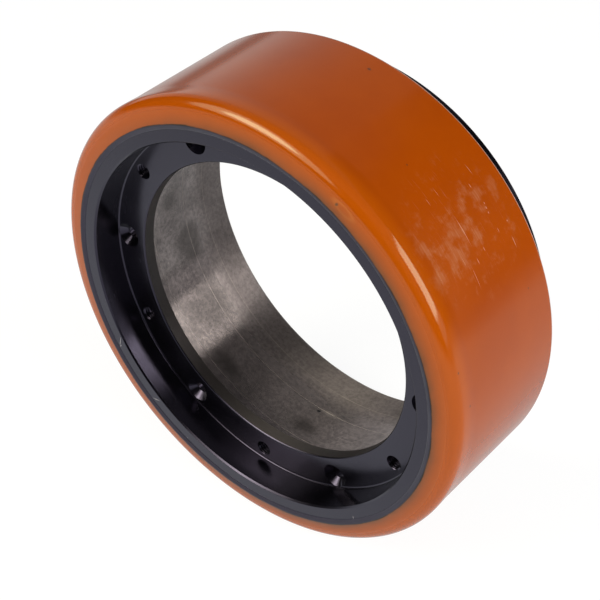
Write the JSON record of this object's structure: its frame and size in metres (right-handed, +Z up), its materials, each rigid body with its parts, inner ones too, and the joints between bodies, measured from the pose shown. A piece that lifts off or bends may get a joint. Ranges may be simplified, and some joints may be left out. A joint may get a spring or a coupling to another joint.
{
  "type": "pallet truck drive wheel",
  "caption": "Solid drive wheel: a ring-shaped steel rim with an inner bolt flange and a bonded polyurethane tread, bolted to a drive hub by countersunk screws.",
  "frame": {"origin": "on the wheel's axis, halfway through the bore of the bolt flange", "axes": "+Y along the wheel's axis, from the front face to the rear end of the barrel; +Z up"},
  "size_m": [0.23, 0.0925, 0.23],
  "materials": {
    "rim_paint": "satin black paint outside and in front, bare turned steel in the bore and the rear recess",
    "tread_polyurethane": "glossy moulded orange polyurethane, lightly scuffed"
  },
  "bodies": {
    "root": {"rim": "rim_paint", "tread": "tread_polyurethane"}
  },
  "joints": []
}
